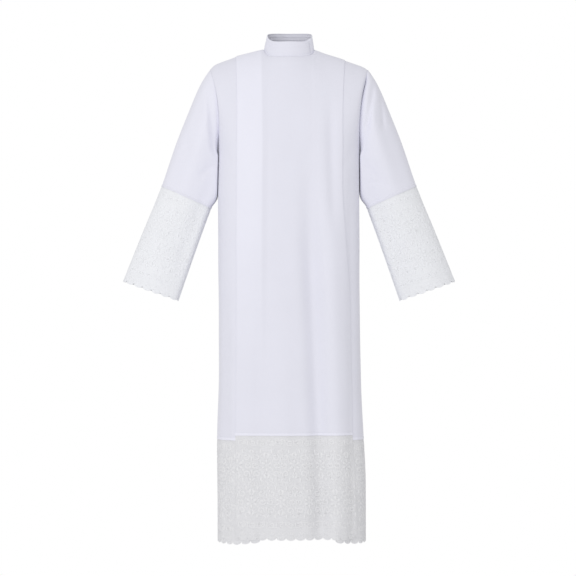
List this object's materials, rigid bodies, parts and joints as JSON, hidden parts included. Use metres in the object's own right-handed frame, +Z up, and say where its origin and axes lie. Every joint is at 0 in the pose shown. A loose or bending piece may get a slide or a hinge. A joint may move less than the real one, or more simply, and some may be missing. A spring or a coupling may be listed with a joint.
{
  "type": "alb robe",
  "caption": "Long white vestment worn filled out: standing band collar, set-in sleeves, a pressed pleat each side, scalloped lace at the hem and cuffs.",
  "frame": {"origin": "middle of the neck, level with the inner ends of the shoulder seams", "axes": "+Z up along the body, front faces -Y, +X towards the wearer's left sleeve"},
  "size_m": [0.9634, 0.3078, 1.474],
  "materials": {
    "white_cloth": "fine plain-woven white cloth with a cool cast, matt",
    "white_lace": "white embroidered net lace with a scalloped edge, matt"
  },
  "bodies": {
    "root": {"front_panel": "white_cloth", "back_panel": "white_cloth", "sleeve_left": "white_cloth", "sleeve_right": "white_cloth", "collar_band": "white_cloth", "hem_lace_front": "white_lace", "hem_lace_back": "white_lace", "sleeve_lace_left": "white_lace", "sleeve_lace_right": "white_lace"}
  },
  "joints": []
}
